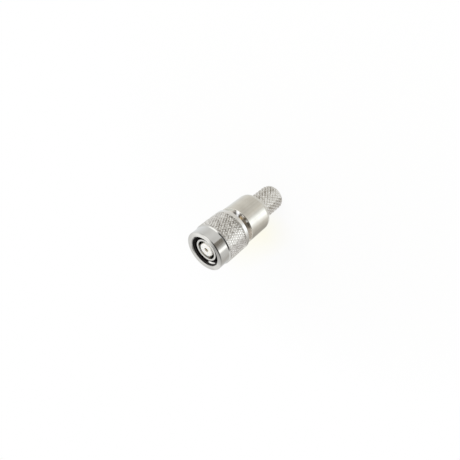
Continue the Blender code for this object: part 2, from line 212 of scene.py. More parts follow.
class Finishes(bpy.types.PropertyGroup):
    """Colours of the plug's materials."""

    nickel: finish("Nickel", "Bright nickel plate", (0.74, 0.735, 0.70))
    nickel_warm: finish("Warm nickel", "Nickel plate of the body", (0.75, 0.73, 0.66))
    # Painted highlight: lighter nickel for the knurls' lands, the bore's glint and the bright places by
    # bearing.
    nickel_painted_highlight: finish("Pale nickel", "Nickel on the knurls' worn lands", (0.98, 0.97, 0.93))
    # Random stains, and painted shade in the knurls' grooves and on shaded sides by bearing.
    nickel_stain_and_shade: finish("Dull nickel", "Nickel in the grooves", (0.30, 0.26, 0.225))
    # Painted reflection streaks along the barrel.
    nickel_olive: finish("Olive nickel", "Streaks along the barrel", (0.42, 0.40, 0.31))
    # Near black, painted as shade in the bore and as dark reflections on the collar's rim.
    nickel_painted_dark: finish("Deep nickel", "Tarnished nickel in the bore", (0.014, 0.012, 0.011))
    ptfe: finish("Dielectric", "White fluoropolymer", (0.93, 0.92, 0.89))
    gold: finish("Gold", "Gold plate", (0.92, 0.78, 0.48))
    brass: finish("Spring brass", "Retaining ring", (0.72, 0.52, 0.26))
    silicone: finish("Silicone", "Gasket", (0.60, 0.19, 0.12))


class StageSettings(bpy.types.PropertyGroup):
    """Where the camera stands, and how bright the stage is."""

    frame_pixels: number("Frame", "Side of the square picture, in pixels", 460)
    focal_pixels: number("Focal length", "Focal length, in pixels of the picture", 341)
    nut_front_x: number("Nut front X", "Picture column of the nut front's centre", 204.0)
    nut_front_y: number("Nut front Y", "Picture row of the nut front's centre", 251.9)
    nut_front_distance: length("Distance", "Depth of the nut front's centre", 0.1067)
    axis_slope: angle("Axis slope", "Slope of the plug's axis in the picture", 38.98)
    axis_lean: angle("Axis lean", "How far the axis leans away from the picture", 35)
    front_turn: angle("Front turn", "Turn of the plug's +X side off the camera's side", -3)
    floor_radius: length("Floor radius", "Radius of the floor", 1.5)
    dome_radius: length("Tent radius", "Radius of the light tent", 0.5)
    ambient: number("Ambient", "Light from all round", 0.75)
    lamp_power: FloatProperty(
        name="Lamp power", description="Power of the soft lamp", default=0.5, unit="POWER"
    )
    lamp_turn: angle("Lamp turn", "Turn of the lamp off the camera's side", 50)
    lamp_rise: angle("Lamp rise", "Height of the lamp over the floor", 50)
    lamp_distance: length("Lamp distance", "Distance of the lamp from the plug", 0.35)
    lamp_width: length("Lamp width", "Width of the lamp", 0.25)


class Socket:
    """A shader socket. Python's operators on it add Math nodes to its tree."""

    def __init__(self, sheet, link):
        self.sheet = sheet
        self.link = link

    def math(self, operation, first, second=0.0):
        """Add one Math node to the tree."""
        return self.sheet.add("ShaderNodeMath", {"operation": operation}, {0: first, 1: second})

    def __add__(self, other):
        return self.math("ADD", self, other)

    def __radd__(self, other):
        return self.math("ADD", other, self)

    def __sub__(self, other):
        return self.math("SUBTRACT", self, other)

    def __rsub__(self, other):
        return self.math("SUBTRACT", other, self)

    def __mul__(self, other):
        return self.math("MULTIPLY", self, other)

    def __rmul__(self, other):
        return self.math("MULTIPLY", other, self)

    def __truediv__(self, other):
        return self.math("DIVIDE", self, other)

    def __rtruediv__(self, other):
        return self.math("DIVIDE", other, self)

    def __pow__(self, other):
        return self.math("POWER", self, other)

    def __rpow__(self, other):
        return self.math("POWER", other, self)

    def __abs__(self):
        return self.math("ABSOLUTE", self)


class Sheet:
    """A node tree that is being drawn up, for a material or the world."""

    def __init__(self, owner):
        owner.use_nodes = True
        self.tree = owner.node_tree
        self.tree.nodes.clear()

    def add(self, kind, settings=None, inputs=None, output=0):
        """Add a node: its settings first, then the values or links of its sockets."""
        node = self.tree.nodes.new(kind)
        for name, value in (settings or {}).items():
            if name == "stops":
                self.set_stops(node.color_ramp, value)
            else:
                setattr(node, name, value)
        for name, value in (inputs or {}).items():
            if isinstance(value, Socket):
                self.tree.links.new(value.link, node.inputs[name])
            else:
                node.inputs[name].default_value = value
        if node.outputs:
            return Socket(self, node.outputs[output])
        return None

    @staticmethod
    def set_stops(ramp, stops):
        """Give a colour ramp its stops, as places and colours."""
        while len(ramp.elements) < len(stops):
            ramp.elements.new(1.0)
        for element, (place, colour) in zip(ramp.elements, stops):
            element.position = place
            element.color = (*colour, 1.0)

    def place(self):
        """The surface's point in the plug's frame: a vector, x, y, z and its distance from the axis."""
        vector = self.add("ShaderNodeTexCoord", output="Object")
        x, y, z = (self.add("ShaderNodeSeparateXYZ", None, {0: vector}, output=axis) for axis in "XYZ")
        return vector, x, y, z, (x * x + y * y) ** 0.5

    def noise(self, vector, scale, detail=2.0):
        """Smooth noise from 0 to 1 round a half."""
        return self.add(
            "ShaderNodeTexNoise", None, {"Vector": vector, "Scale": scale, "Detail": detail}, output="Fac"
        )

    def lines(self, along, scale, detail=2.0):
        """Noise that varies along one coordinate only, like the marks of a lathe tool."""
        return self.add(
            "ShaderNodeTexNoise", {"noise_dimensions": "1D"},
            {"W": along, "Scale": scale, "Detail": detail}, output="Fac",
        )

    def mix(self, factor, first, second):
        """Mix two colours."""
        return self.add(
            "ShaderNodeMix", {"data_type": "RGBA"}, {0: factor, 6: first, 7: second}, output=2
        )

    def clamp(self, value, low=0.0, high=1.0, start=0.0, end=1.0):
        """Bring a value from its own range to another one, and keep it there."""
        return self.add(
            "ShaderNodeMapRange", {"clamp": True},
            {"Value": value, "From Min": low, "From Max": high, "To Min": start, "To Max": end},
        )

    def between(self, value, start, full, fade, end):
        """One from full to fade, and zero from start and end outwards."""
        return self.clamp(value, start, full) * self.clamp(value, end, fade)

    def ramp(self, around, colours):
        """A colour ramp's colour at a bearing."""
        return self.add("ShaderNodeValToRGB", {"stops": colours}, {"Fac": around}, output="Color")

    def bearing(self, x, y):
        """Bearing of a point round the axis, from 0 to 1, with a half towards the camera."""
        turned = self.add("ShaderNodeMath", {"operation": "ARCTAN2"}, {0: y, 1: x})
        return 0.5 - turned / TURN

    def facing(self, around, degrees, outer, inner):
        """One near a bearing, and zero from an outer distance on. All are in degrees."""
        return self.clamp(abs(around - (0.5 + degrees / 360)), outer / 360, inner / 360)

    def lean(self, normal, amount, x, y, z):
        """A normal that leans towards a direction of the plug's frame by an amount."""
        aim = self.add("ShaderNodeCombineXYZ", None, {"X": x, "Y": y, "Z": z})
        aim = self.add(
            "ShaderNodeVectorTransform",
            {"vector_type": "NORMAL", "convert_from": "OBJECT", "convert_to": "WORLD"}, {"Vector": aim},
        )
        mixed = self.add("ShaderNodeMix", {"data_type": "VECTOR"}, {0: amount, 4: normal, 5: aim}, output=1)
        return self.add("ShaderNodeVectorMath", {"operation": "NORMALIZE"}, {0: mixed})

    def bump(self, height, distance):
        """A normal from a height."""
        inputs = {"Height": height, "Distance": distance, "Strength": 1.0}
        return self.add("ShaderNodeBump", None, inputs, output="Normal")

    def output(self, kind, surface):
        """End the tree in its output node."""
        self.add(kind, None, {"Surface": surface})


def rgba(colour):
    """A property's colour as four numbers."""
    return (*colour, 1.0)


def new_material(name):
    """A new material and its sheet."""
    material = bpy.data.materials.new(name)
    return material, Sheet(material)


def principled(material, sheet, inputs):
    """End a material in a Principled shader."""
    shader = sheet.add("ShaderNodeBsdfPrincipled", None, inputs, output="BSDF")
    sheet.output("ShaderNodeOutputMaterial", shader)
    return material


def grey(level):
    """A grey colour."""
    return (level, level, level, 1.0)


def stops(levels):
    """Ramp stops from bearings in degrees, 0 towards the camera, with a grey level and its warmth."""
    places = []
    for degrees, level, *warmth in levels:
        warm = warmth[0] if warmth else 0.0
        places.append((0.5 + degrees / 360, (level * (1 + warm * 0.75), level, level * (1 - warm))))
    return places


# Painted light on the finish, by bearing: painted dark reflections, highlights, a glint and shade, and the
# gap's painted shade and reflections.
RIM_PAINTED_DARK_REFLECTION = stops([(-60, 0.0), (-8, 0.0), (12, 0.60), (45, 0.38), (66, 0.25), (80, 0.0)])
RIM_SHINE = stops([(-70, 0.0), (-45, 0.4), (-14, 0.6), (-4, 0.0), (80, 0.0), (104, 0.4), (118, 0.0)])
BAND_SHINE = stops([(-70, 0.1), (-52, 0.4), (8, 0.6), (18, 0.3), (28, 0.0), (75, 0.0)])
KNURL_SHINE = stops([(12, 0.0), (22, 0.6), (32, 0.5), (40, 0.0)])
KNURL_PAINTED_SHADE = stops([(38, 0.0), (50, 0.32), (62, 0.28), (74, 0.0)])
NECK_SHINE = stops([(-16, 0.0), (-4, 0.5), (26, 0.6), (34, 0.0)])
NECK_PAINTED_SHADE = stops(
    [(-80, 0.26), (-66, 0.22), (-52, 0.0), (-46, 0.0), (-41, 0.28), (-33, 0.22), (-27, 0.05), (30, 0.0),
     (38, 0.22), (52, 0.2), (62, 0.30), (90, 0.26)]
)
# A painted dark reflection line along the collar's front edge.
RIM_LINE = stops(
    [(-48, 0.0), (-36, 0.35), (-24, 0.05), (-10, 0.15), (-2, 0.6), (25, 0.7), (38, 0.45), (60, 0.15),
     (75, 0.0)]
)
BORE_GLINT = stops([(108, 0.0), (114, 0.9), (136, 1.0), (143, 0.7), (148, 0.0)])
# The gap's painted shade and painted reflections, on the outer and inner parts of the barrel's front face.
GAP_TOP = stops(
    [(-60, 1.0, 0.1), (-42, 1.0, 0.1), (-33, 0.35, 0.1), (-29, 1.0), (-20, 1.0), (-16, 0.45, 0.1),
     (-12, 0.18, 0.2), (-9, 0.95, 0.08), (-4, 0.95, 0.08), (-1, 0.35, 0.3), (3, 0.11, 0.2), (8, 0.20, 0.35),
     (10, 1.0, 0.05), (14, 1.0, 0.05), (16, 0.12, 0.2), (18, 0.08, 0.2), (24, 0.10, 0.2), (29, 0.14, 0.2),
     (33, 0.26, 0.2), (38, 0.58, 0.16), (50, 0.66, 0.16), (75, 0.60, 0.16)]
)
GAP_FOOT = stops(
    [(-60, 1.0, 0.1), (-48, 0.9, 0.1), (-41, 0.30, 0.1), (-33, 0.20, 0.1), (-27, 0.80), (-22, 0.70),
     (-18, 0.14, 0.2), (-13, 0.25, 0.3), (-10, 0.9, 0.4), (-5, 0.9, 0.4), (-1, 0.30, 0.3), (4, 0.23, 0.15),
     (13, 0.26, 0.3), (18, 0.18, 0.25), (28, 0.22, 0.2), (33, 0.28, 0.2), (39, 0.52, 0.16),
     (75, 0.60, 0.16)]
)


def nickel(name, bright, finishes, roughness, knurl=None, tint=None):
    """Bright nickel plate with lathe marks. A knurl gets painted shade in its grooves and a painted
    highlight on its lands, and a tint paints more light and shade.

    A knurl is given as its low and high ends, its crest's radius, its depth and its added roughness.
    A tint returns the colour with its painted light and shade, the share that is made matt and not metal,
    and how far the normal leans, with the lean's way from the axis and its rise.
    """
    material, sheet = new_material(name)
    vector, x, y, z, radius = sheet.place()
    marks_fine = sheet.lines(z + radius, 9000.0)
    marks_broad = sheet.lines(z + radius, 1500.0)
    stain = sheet.noise(vector, 420.0, 3.0)
    cloud = sheet.noise(vector, 120.0, 2.0)
    shade = sheet.clamp(stain * 0.6 + cloud * 0.4, 0.42, 0.66, 0.0, 0.16)
    rough = roughness + (marks_broad - 0.5) * 0.05 + (stain - 0.5) * 0.08
    if knurl:
        low, high, crest, depth, matt = knurl
        groove = sheet.clamp(radius, crest - 0.1 * depth, crest - 0.8 * depth)
        within = sheet.between(z, low - depth, low, high, high + depth)
        within = within * sheet.clamp(radius, crest - 1.5 * depth, crest - 1.2 * depth)
        fleck = sheet.clamp(sheet.noise(vector, 1300.0, 2.0), 0.40, 0.62)
        # Painted shade deepens the knurl's grooves, over the random stains.
        shade = sheet.clamp(groove * within * (0.10 + fleck * 0.45) + shade)
        rough = rough + within * matt
        # Painted highlight: the knurl's lands turn lighter, broken up by noise.
        painted_land_highlight = sheet.mix(within * (1 - fleck) * 0.9, rgba(bright), rgba(finishes.nickel_painted_highlight))
        colour = sheet.mix(shade, painted_land_highlight, rgba(finishes.nickel_stain_and_shade))
    else:
        colour = sheet.mix(shade, rgba(bright), rgba(finishes.nickel_stain_and_shade))
    normal = sheet.bump(marks_fine * 0.6 + marks_broad * 0.4, 0.0000015)
    metallic = 1.0
    if tint:
        # The tint paints light and shade into the colour, and its matt share turns those places matt and
        # not metal.
        colour, matt_share, turned, side, lift = tint(sheet, colour, x, y, z, radius)
        normal = sheet.lean(normal, turned, x / radius * side, y / radius * side, lift)
        metallic = 1 - matt_share
        rough = rough + matt_share * 0.3
    inputs = {"Base Color": colour, "Metallic": metallic, "Roughness": rough, "Normal": normal}
    return principled(material, sheet, {**inputs, "Specular IOR Level": 0.2})


def plain_metal(name, colour, roughness):
    """Turned metal of one colour, such as gold plate or spring brass."""
    material, sheet = new_material(name)
    vector, _, _, z, radius = sheet.place()
    marks = sheet.lines(z + radius, 7000.0)
    stain = sheet.noise(vector, 700.0, 3.0)
    dull = tuple(0.72 * part for part in colour)
    tone = sheet.mix(sheet.clamp(stain, 0.4, 0.7, 0.0, 0.5), rgba(colour), rgba(dull))
    rough = roughness + (stain - 0.5) * 0.15
    normal = sheet.bump(marks, 0.000004)
    inputs = {"Base Color": tone, "Metallic": 1.0, "Roughness": rough, "Normal": normal}
    return principled(material, sheet, inputs)


def fluoropolymer(name, colour):
    """White, waxy dielectric, faintly turned."""
    material, sheet = new_material(name)
    vector, _, _, z, radius = sheet.place()
    marks = sheet.lines(z + radius, 4200.0)
    grain = sheet.noise(vector, 2600.0, 3.0)
    cream = tuple(part * scale for part, scale in zip(colour, (0.97, 0.95, 0.90)))
    tone = sheet.mix(sheet.clamp(sheet.noise(vector, 500.0), 0.4, 0.65), rgba(colour), rgba(cream))
    inputs = {
        "Base Color": tone, "Roughness": 0.38 + (grain - 0.5) * 0.2, "Specular IOR Level": 0.42,
        "Subsurface Weight": 0.4, "Subsurface Scale": 0.001, "Subsurface Radius": (1.0, 0.9, 0.8),
        "Normal": sheet.bump(marks * 0.6 + grain * 0.4, 0.000008),
    }
    return principled(material, sheet, inputs)


def silicone_rubber(name, colour):
    """Matt moulded rubber."""
    material, sheet = new_material(name)
    vector, *_ = sheet.place()
    grain = sheet.noise(vector, 3200.0, 4.0)
    dusty = tuple(min(1.0, part * 1.25 + 0.03) for part in colour)
    tone = sheet.mix(sheet.clamp(grain, 0.4, 0.7), rgba(colour), rgba(dusty))
    rough = 0.62 + (grain - 0.5) * 0.2
    inputs = {"Base Color": tone, "Roughness": rough, "Normal": sheet.bump(grain, 0.00001)}
    return principled(material, sheet, inputs)


def arc_points(corner, before, after, fillet, steps):
    """Points of a fillet that rounds one corner of an outline."""
    corner = np.array(corner)
    back = np.array(before) - corner
    ahead = np.array(after) - corner
    back_length = np.linalg.norm(back)
    ahead_length = np.linalg.norm(ahead)
    back = back / back_length
    ahead = ahead / ahead_length
    half = math.acos(max(-1.0, min(1.0, float(back @ ahead)))) / 2
    reach = min(fillet / math.tan(half), 0.49 * back_length, 0.49 * ahead_length)
    centre = corner + (back + ahead) / np.linalg.norm(back + ahead) * reach / math.cos(half)
    start = corner + back * reach - centre
    end = corner + ahead * reach - centre
    sweep = math.acos(max(-1.0, min(1.0, float(start @ end) / float(start @ start))))
    points = []
    for step in range(steps + 1):
        share = step / steps
        mixed = (math.sin((1 - share) * sweep) * start + math.sin(share * sweep) * end) / math.sin(sweep)
        points.append(tuple(centre + mixed))
    return points


def rounded(corners, steps=4):
    """An open outline of (radius, height, fillet) corners, with each fillet as an arc."""
    points = [corners[0][:2]]
    for before, corner, after in zip(corners, corners[1:], corners[2:]):
        if corner[2] > 0:
            points += arc_points(corner[:2], before[:2], after[:2], corner[2], steps)
        else:
            points.append(corner[:2])
    points.append(corners[-1][:2])
    return points


def column_angles(columns):
    """The angle of each mesh column round the axis."""
    return np.arange(columns) * TURN / columns


def turned_grid(outline, columns):
    """Radius and height of a turned surface, a row for each outline point."""
    points = np.array(outline)
    return np.repeat(points[:, :1], columns, axis=1), np.repeat(points[:, 1:], columns, axis=1)


def straight(start, end, rows):
    """Evenly spaced outline points from one point to another."""
    start, end = np.array(start), np.array(end)
    return [tuple(start + (end - start) * row / rows) for row in range(rows + 1)]


def knurl_band(crest, high, low, sizes):
    """Outline of a knurled band with a whole number of half diamonds, its ends at the roots."""
    half_columns = sizes.tooth_columns // 2
    half_diamond = crest * math.pi / sizes.teeth / math.tan(sizes.knurl_angle)
    rows = round((high - low) / half_diamond) * half_columns
    outline = []
    for radius, height in straight((crest, high), (crest, low), rows):
        inset = min(high - height, height - low)
        outline.append((min(radius, crest - sizes.knurl_depth + inset), height))
    return outline


def diamond_knurl(crest, high, low, sizes):
    """A band with two crossing families of grooves pressed in. A row is one column's shift high."""
    columns = sizes.teeth * sizes.tooth_columns
    radius, height = turned_grid(knurl_band(crest, high, low, sizes), columns)
    rows = len(radius)
    row, column = np.mgrid[0:rows, 0:columns]
    grooves = []
    for turn in (column + row, column - row):
        share = (turn % sizes.tooth_columns) / sizes.tooth_columns
        grooves.append(1 - np.abs(2 * share - 1))
    groove = np.clip((np.maximum(*grooves) - KNURL_LAND) / (1 - KNURL_LAND), 0, 1)
    return np.minimum(radius, crest - sizes.knurl_depth * groove), height


def cut_thread(grid, sizes, foot):
    """Cut a right-hand thread into a bore."""
    radius, height = grid
    angles = column_angles(radius.shape[1])
    share = ((height - foot) / sizes.thread_pitch - angles / TURN) % 1.0
    tooth = np.clip((1 - np.abs(2 * share - 1) - CREST_FLAT) / (1 - CREST_FLAT - ROOT_FLAT), 0, 1)
    return np.maximum(radius, sizes.thread_radius + sizes.thread_depth * tooth), height


def skin(name, grids, closed=True):
    """Join grids of points into one mesh, row to row and round the axis."""
    radius = np.vstack([grid[0] for grid in grids])
    height = np.vstack([grid[1] for grid in grids])
    rows, columns = radius.shape
    angles = column_angles(columns)
    points = np.stack([radius * np.cos(angles), radius * np.sin(angles), height], axis=-1)
    index = np.arange(rows * columns).reshape(rows, columns)
    last = rows if closed else rows - 1
    here = index[:last]
    below = np.roll(index, -1, axis=0)[:last]
    beside = np.roll(here, -1, axis=1)
    across = np.roll(below, -1, axis=1)
    flat = radius.ravel()
    steep = np.abs(flat[here] - flat[across]) > np.abs(flat[below] - flat[beside])
    first = np.stack([here, below, np.where(steep, beside, across)], -1)
    second = np.stack([np.where(steep, below, here), across, beside], -1)
    faces = np.concatenate([first.reshape(-1, 3), second.reshape(-1, 3)])
    mesh = bpy.data.meshes.new(name)
    mesh.from_pydata(points.reshape(-1, 3).tolist(), [], faces.tolist())
    tidy = bmesh.new()
    tidy.from_mesh(mesh)
    bmesh.ops.remove_doubles(tidy, verts=tidy.verts, dist=WELD)
    tidy.to_mesh(mesh)
    tidy.free()
    obj = bpy.data.objects.new(name, mesh)
    bpy.context.scene.collection.objects.link(obj)
    return obj


def turned_piece(name, corners, columns):
    """A turned piece from its corners, from its outer top edge down and round to its inner one."""
    middle = ((corners[0][0] + corners[-1][0]) / 2, corners[0][1], 0)
    outline = rounded([middle, *corners, middle])
    return skin(name, [turned_grid(outline[:-1], columns)])


def ring_piece(name, inner, outer, low, high, edge, inner_edge, columns):
    """A ring with rounded edges."""
    outside = [(outer, high, edge), (outer, low, edge)]
    inside = [(inner, low, inner_edge), (inner, high, inner_edge)]
    return turned_piece(name, outside + inside, columns)


def dress(obj, body, node, material):
    """Shade a piece, give it its material and let it ride in its node's place."""
    obj.data.shade_smooth()
    obj.data.set_sharp_from_angle(angle=SHARP_CORNER)
    obj.data.materials.clear()
    obj.data.materials.append(material)
    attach(obj, body)
    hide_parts(node)


def cut_boxes(obj, boxes):
    """Cut box-shaped slots, given as sizes and centres, out of a piece."""
    cutters = []
    for size, centre in boxes:
        bpy.ops.mesh.primitive_cube_add(size=1, location=centre)
        cutter = bpy.context.object
        cutter.scale = size
        cutters.append(cutter)
    cut_out(obj, cutters)


def cut_out(obj, cutters):
    """Cut each cutter out of a piece, and remove the cutters."""
    for cutter in cutters:
        boolean = obj.modifiers.new("Cut", "BOOLEAN")
        boolean.operation = "DIFFERENCE"
        boolean.solver = "EXACT"
        boolean.object = cutter
    bpy.context.view_layer.update()
    seen = obj.evaluated_get(bpy.context.evaluated_depsgraph_get())
    mesh = bpy.data.meshes.new_from_object(seen)
    obj.modifiers.clear()
    obj.data = mesh
    for cutter in cutters:
        bpy.data.objects.remove(cutter)


def make_nut(sizes, finishes):
    """Coupling nut: plain collar, knurl, rear band, ring groove and right-hand thread."""
    columns = sizes.teeth * sizes.tooth_columns
    low, outer, collar = NUT_LOW.z, sizes.radius, sizes.collar_radius
    top = low + sizes.length
    depth = sizes.knurl_depth
    collar_low = top - sizes.collar_length
    shoulder = collar_low - (outer - collar)
    knurl_high = shoulder - depth
    knurl_low = low + sizes.rear_band
    small = sizes.edge / 2
    groove_low = low + sizes.lip
    groove_high = groove_low + sizes.groove_width
    mouth = sizes.thread_radius + sizes.lead_in
    thread_low = low + sizes.thread_low
    thread_foot = thread_low + sizes.relief_radius - sizes.thread_radius

    front = rounded(
        [(mouth, top, 0), (collar, top, sizes.edge), (collar, collar_low, small),
         (outer, shoulder, small / 2), (outer - depth, knurl_high, 0)],
        steps=6,
    )
    rear = rounded(
        [(outer - depth, knurl_low, 0), (outer, knurl_low - depth / 3, small / 6), (outer, low, sizes.edge),
         (sizes.lip_radius, low, small), (sizes.lip_radius, groove_low, 0)]
    )
    bore = [
        (sizes.lip_radius, groove_low), (sizes.groove_radius, groove_low),
        (sizes.groove_radius, groove_high), (sizes.lip_radius, groove_high),
        (sizes.lip_radius, low + sizes.relief_low), (sizes.relief_radius, low + sizes.relief_low),
        (sizes.relief_radius, thread_low),
    ]
    thread_high = top - sizes.lead_in
    thread_rows = round((thread_high - thread_foot) / sizes.thread_pitch * THREAD_ROWS_PER_TURN)
    thread_end = (sizes.thread_radius, thread_high)
    thread = straight((sizes.thread_radius, thread_foot), thread_end, thread_rows)
    thread += straight(thread_end, (mouth, top), rows=6)[1:]

    knurl = diamond_knurl(outer, knurl_high, knurl_low, sizes)
    thread = cut_thread(turned_grid(thread, columns), sizes, thread_foot)
    front, rear, bore = (turned_grid(outline, columns) for outline in (front, rear, bore))
    nut = skin("knurled_nut", [front, knurl, rear, bore, thread])

    def nut_painted_light(sheet, colour, x, y, z, radius):
        """Painted shade in the bore with one painted glint, painted dark reflections on the rim and its
        edge, painted highlights on the rim, the rear band and the knurl, and painted shade on the knurl.
        """
        around = sheet.bearing(x, y)
        edge = sizes.edge
        rim = sheet.clamp(z, top - edge, top - edge / 4)
        line = sheet.clamp(radius, collar - edge, collar - edge / 2)
        line = line * sheet.clamp(z, top - 1.5 * edge, top - edge)
        pitch = sizes.thread_pitch
        # A painted glint on the thread just inside the mouth; the normal leans there too.
        glint = sheet.between(z, top - 2 * pitch, top - 1.7 * pitch, top - 1.2 * pitch, top - pitch)
        glint = glint * sheet.ramp(around, BORE_GLINT) * sheet.clamp(radius, collar, mouth)
        # Painted shade: the bore below the mouth turns near black, matt and not metal.
        inside = sheet.clamp(radius, mouth + small, mouth + small / 2)
        inside = inside * sheet.clamp(z, top, thread_high) * (1 - glint)
        # Painted dark reflections on the rim and the collar's edge, added to the bore's painted shade.
        painted_dark = inside + rim * sheet.ramp(around, RIM_PAINTED_DARK_REFLECTION) + line * sheet.ramp(around, RIM_LINE)
        band = sheet.clamp(z, knurl_low, knurl_low - depth) * sheet.ramp(around, BAND_SHINE)
        knurled = sheet.between(z, knurl_low - depth, knurl_low, knurl_high, shoulder)
        # Painted highlights on the rim, the rear band and the knurl, with the glint's light colour.
        shine = rim * sheet.ramp(around, RIM_SHINE) + band + knurled * sheet.ramp(around, KNURL_SHINE)
        colour = sheet.mix(sheet.clamp(glint + shine), colour, rgba(finishes.nickel_painted_highlight))
        # Painted shade on one side of the knurl.
        colour = sheet.mix(knurled * sheet.ramp(around, KNURL_PAINTED_SHADE), colour, rgba(finishes.nickel_stain_and_shade))
        colour = sheet.mix(sheet.clamp(painted_dark), colour, rgba(finishes.nickel_painted_dark))
        return colour, inside, glint, -1.0, 0.85

    band = (knurl_low, knurl_high, outer, depth, 0.08)
    material = nickel("nut_nickel", finishes.nickel, finishes, 0.11, knurl=band, tint=nut_painted_light)
    dress(nut, "nut", "coupling_nut", material)


def make_body(sizes, finishes):
    """Turned body: knurled neck, smooth barrel and the spigot under the nut."""
    columns = sizes.teeth * sizes.tooth_columns
    neck = sizes.neck_radius
    depth = sizes.knurl_depth
    barrel_low = sizes.neck_length
    barrel_high = barrel_low + sizes.barrel_length
    barrel = sizes.barrel_radius
    front_edge = sizes.barrel_front_edge
    spigot = sizes.spigot_radius
    top = BODY_HIGH.z
    small = sizes.neck_edge / 4

    front = rounded(
        [(sizes.seat_radius, top, 0), (spigot, top, sizes.neck_edge), (spigot, sizes.groove_high, 0),
         (sizes.groove_radius, sizes.groove_high, 0), (sizes.groove_radius, sizes.groove_low, 0),
         (spigot, sizes.groove_low, 0), (spigot, barrel_high, small),
         (barrel - front_edge, barrel_high, small), (barrel, barrel_high - front_edge, small),
         (barrel, barrel_low + sizes.barrel_rear_radius + sizes.barrel_taper, small),
         (barrel - sizes.barrel_inset, barrel_low, sizes.barrel_rear_radius),
         (neck - depth, barrel_low, 0)],
        steps=6,
    )
    knurl = diamond_knurl(neck, sizes.neck_length - sizes.neck_edge, sizes.neck_edge, sizes)
    rear = rounded(
        [(neck - depth, sizes.neck_edge, 0), (neck - sizes.neck_edge - small, 0, small),
         (sizes.cable_bore, 0, small), (sizes.cable_bore, sizes.web_low, 0),
         (sizes.web_radius, sizes.web_low, small), (sizes.web_radius, sizes.web_high, small),
         (sizes.insulator_bore, sizes.web_high, 0), (sizes.insulator_bore, sizes.seat_low, small),
         (sizes.seat_radius, sizes.seat_low, 0), (sizes.seat_radius, top, 0)]
    )
    body = skin("turned_body", [turned_grid(front, columns), knurl, turned_grid(rear, columns)])

    def body_painted_light(sheet, colour, x, y, z, radius):
        """Painted shade and painted reflections in the gap behind the nut, faint painted reflection streaks
        on the barrel, and painted highlights and painted shade on the neck.
        """
        around = sheet.bearing(x, y)
        # Painted shade and painted reflections on the barrel's front face, in the gap behind the nut.
        inside = sheet.clamp(radius, barrel - front_edge / 2, barrel - front_edge)
        inside = inside * sheet.clamp(z, barrel_high - front_edge, barrel_high - front_edge / 2)
        inside = inside * sheet.facing(around, 0, 84, 74)
        near_top = sheet.clamp(radius, barrel - GAP_SPLIT, barrel - GAP_SPLIT + GAP_BLEND)
        gap_painted_light = sheet.mix(near_top, sheet.ramp(around, GAP_FOOT), sheet.ramp(around, GAP_TOP))
        on_neck = sheet.clamp(z, barrel_low, barrel_low - small)
        # Painted highlights and painted shade on the neck, by bearing.
        colour = sheet.mix(on_neck * sheet.ramp(around, NECK_SHINE), colour, rgba(finishes.nickel_painted_highlight))
        colour = sheet.mix(on_neck * sheet.ramp(around, NECK_PAINTED_SHADE), colour, rgba(finishes.nickel_stain_and_shade))
        # Painted reflection streaks along the barrel.
        streaks = sheet.clamp(sheet.lines(around, 55.0, 4.0), 0.42, 0.68) * (1 - on_neck)
        colour = sheet.mix(streaks * 0.16, colour, rgba(finishes.nickel_olive))
        # Painted specks of light in the gap are made matt and not metal; the normal leans higher near one
        # bearing.
        bright = sheet.facing(around, -25, 8, 3)
        painted_matt_flecks = sheet.facing(around, -7, 5, 3) + sheet.facing(around, 12, 3, 1.5) * near_top
        return sheet.mix(inside, colour, gap_painted_light), painted_matt_flecks * inside, inside, 1.0, 0.3 + bright * 0.5

    band = (0, sizes.neck_length, neck, depth, 0.25)
    material = nickel("body_nickel", finishes.nickel_warm, finishes, 0.11, knurl=band, tint=body_painted_light)
    dress(body, "plug", "connector_body", material)


def make_sleeve(sizes, finishes):
    """Outer contact sleeve with a rounded lip."""
    outer, low, high = SLEEVE_HIGH.x, SLEEVE_LOW.z, SLEEVE_HIGH.z
    foot_bore = sizes.nose_radius + sizes.seat_gap
    edge = sizes.sleeve_edge
    corners = [
        (outer, high, edge), (outer, low, edge / 2), (foot_bore, low, 0),
        (foot_bore, low + sizes.sleeve_foot, 0), (sizes.sleeve_bore, low + sizes.sleeve_foot, edge / 2),
        (sizes.sleeve_bore, high, edge),
    ]
    sleeve = turned_piece("contact_sleeve", corners, COLUMNS_FINE)
    material = nickel("sleeve_nickel", finishes.nickel, finishes, 0.12)
    dress(sleeve, "plug", "outer_contact", material)


def make_nose(sizes, finishes):
    """Front insulator: wide base, long nose and the small pin entry."""
    low, high = NOSE_LOW.z, NOSE_HIGH.z
    edge = sizes.insulator_edge
    base = NOSE_HIGH.x
    nose = sizes.nose_radius
    shaft = sizes.shaft_radius + sizes.seat_gap
    socket = sizes.socket_radius + sizes.seat_gap
    shaft_top = sizes.shaft_high + sizes.seat_gap
    web = high - sizes.nose_web
    corners = [
        (nose, high, edge), (nose, sizes.nose_shoulder, 0), (base, sizes.nose_shoulder, edge),
        (base, low, edge), (shaft, low, 0), (shaft, shaft_top, 0), (socket, shaft_top, 0), (socket, web, 0),
        (sizes.pin_entry, web, 0), (sizes.pin_entry, high, edge),
    ]
    nose_piece = turned_piece("dielectric_nose", corners, COLUMNS_MIDDLE)
    material = fluoropolymer("nose_ptfe", finishes.ptfe)
    dress(nose_piece, "plug", "front_insulator", material)


def make_bead(sizes, finishes):
    """Rear insulator: the bead that centres the contact in the cable bore."""
    outer, low, high = BEAD_HIGH.x, BEAD_LOW.z, BEAD_HIGH.z
    inner = CONTACT_HIGH.x + sizes.seat_gap
    edge = sizes.insulator_edge
    bead = ring_piece("cable_bead", inner, outer, low, high, edge, edge / 2, COLUMNS_MIDDLE)
    dress(bead, "plug", "rear_insulator", fluoropolymer("bead_ptfe", finishes.ptfe))


